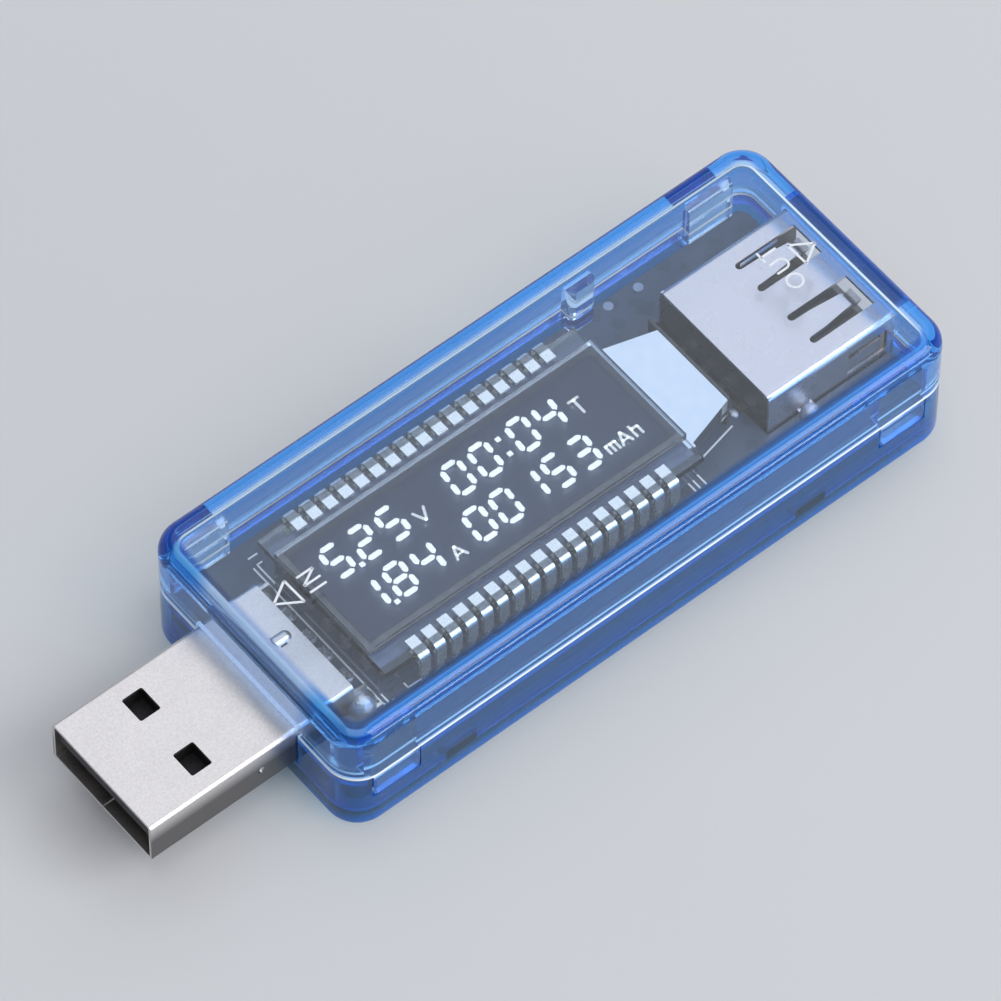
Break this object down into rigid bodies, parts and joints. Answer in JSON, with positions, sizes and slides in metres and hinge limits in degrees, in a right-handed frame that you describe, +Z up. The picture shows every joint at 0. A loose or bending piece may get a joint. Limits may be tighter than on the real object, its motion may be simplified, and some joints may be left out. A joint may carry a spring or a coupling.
{
  "type": "usb power meter",
  "caption": "In-line power meter: clear two-piece case, board, type A plug and receptacle, backlit numeric display.",
  "frame": {"origin": "centre of the bounding box, on the underside of the case", "axes": "+X from the plug towards the receptacle, +Z up out of the display window, -Y is the lower edge of the display reading"},
  "size_m": [0.0732, 0.025, 0.0125],
  "materials": {
    "clear_blue_cover": "clear injection-moulded plastic with a light blue tint, polished",
    "deep_blue_cover": "clear injection-moulded plastic, deeper blue, polished",
    "board_laminate": "black solder mask on glass laminate with white print",
    "nickel_sheet": "satin nickel-plated sheet",
    "black_nylon": "moulded glass-filled nylon",
    "gold_contact": "gold flash over nickel",
    "solder": "bright tin solder",
    "display_glass": "polished float glass",
    "epoxy_seal": "cured epoxy perimeter seal",
    "polarizer_film": "dark polarizing film",
    "tinned_pin": "tinned spring clip",
    "clear_acrylic": "clear acrylic light guide",
    "white_film": "white diffusing film",
    "led_package": "side-view LED package",
    "black_epoxy": "moulded epoxy package",
    "tinned_lead": "tinned lead",
    "resistor_ceramic": "glazed thick-film resistor body",
    "capacitor_ceramic": "sintered ceramic body"
  },
  "bodies": {
    "root": {"backlight_diffuser": "white_film", "backlight_guide": "clear_acrylic", "backlight_led_board": "white_film", "backlight_leds": "led_package", "backlight_reflector": "white_film", "bottom_cover": "deep_blue_cover", "chip_capacitors": "capacitor_ceramic", "chip_resistors": "resistor_ceramic", "chip_terminals": "tinned_lead", "circuit_board": "board_laminate", "current_amplifier": "black_epoxy", "current_amplifier_leads": "tinned_lead", "current_shunt": "resistor_ceramic", "lcd_front_glass": "display_glass", "lcd_front_polarizer": "polarizer_film", "lcd_pins_far": "tinned_pin", "lcd_pins_near": "tinned_pin", "lcd_rear_glass": "display_glass", "lcd_rear_polarizer": "polarizer_film", "lcd_seal": "epoxy_seal", "lcd_solder": "solder", "memory_chip": "black_epoxy", "memory_chip_leads": "tinned_lead", "microcontroller": "black_epoxy", "microcontroller_leads": "tinned_lead", "plug_contacts": "gold_contact", "plug_insulator": "black_nylon", "plug_shell": "nickel_sheet", "plug_solder": "solder", "protection_diode": "black_epoxy", "receptacle_contacts": "gold_contact", "receptacle_insulator": "black_nylon", "receptacle_shell": "nickel_sheet", "receptacle_solder": "solder", "top_cover": "clear_blue_cover", "voltage_regulator": "black_epoxy", "voltage_regulator_leads": "tinned_lead"}
  },
  "joints": []
}
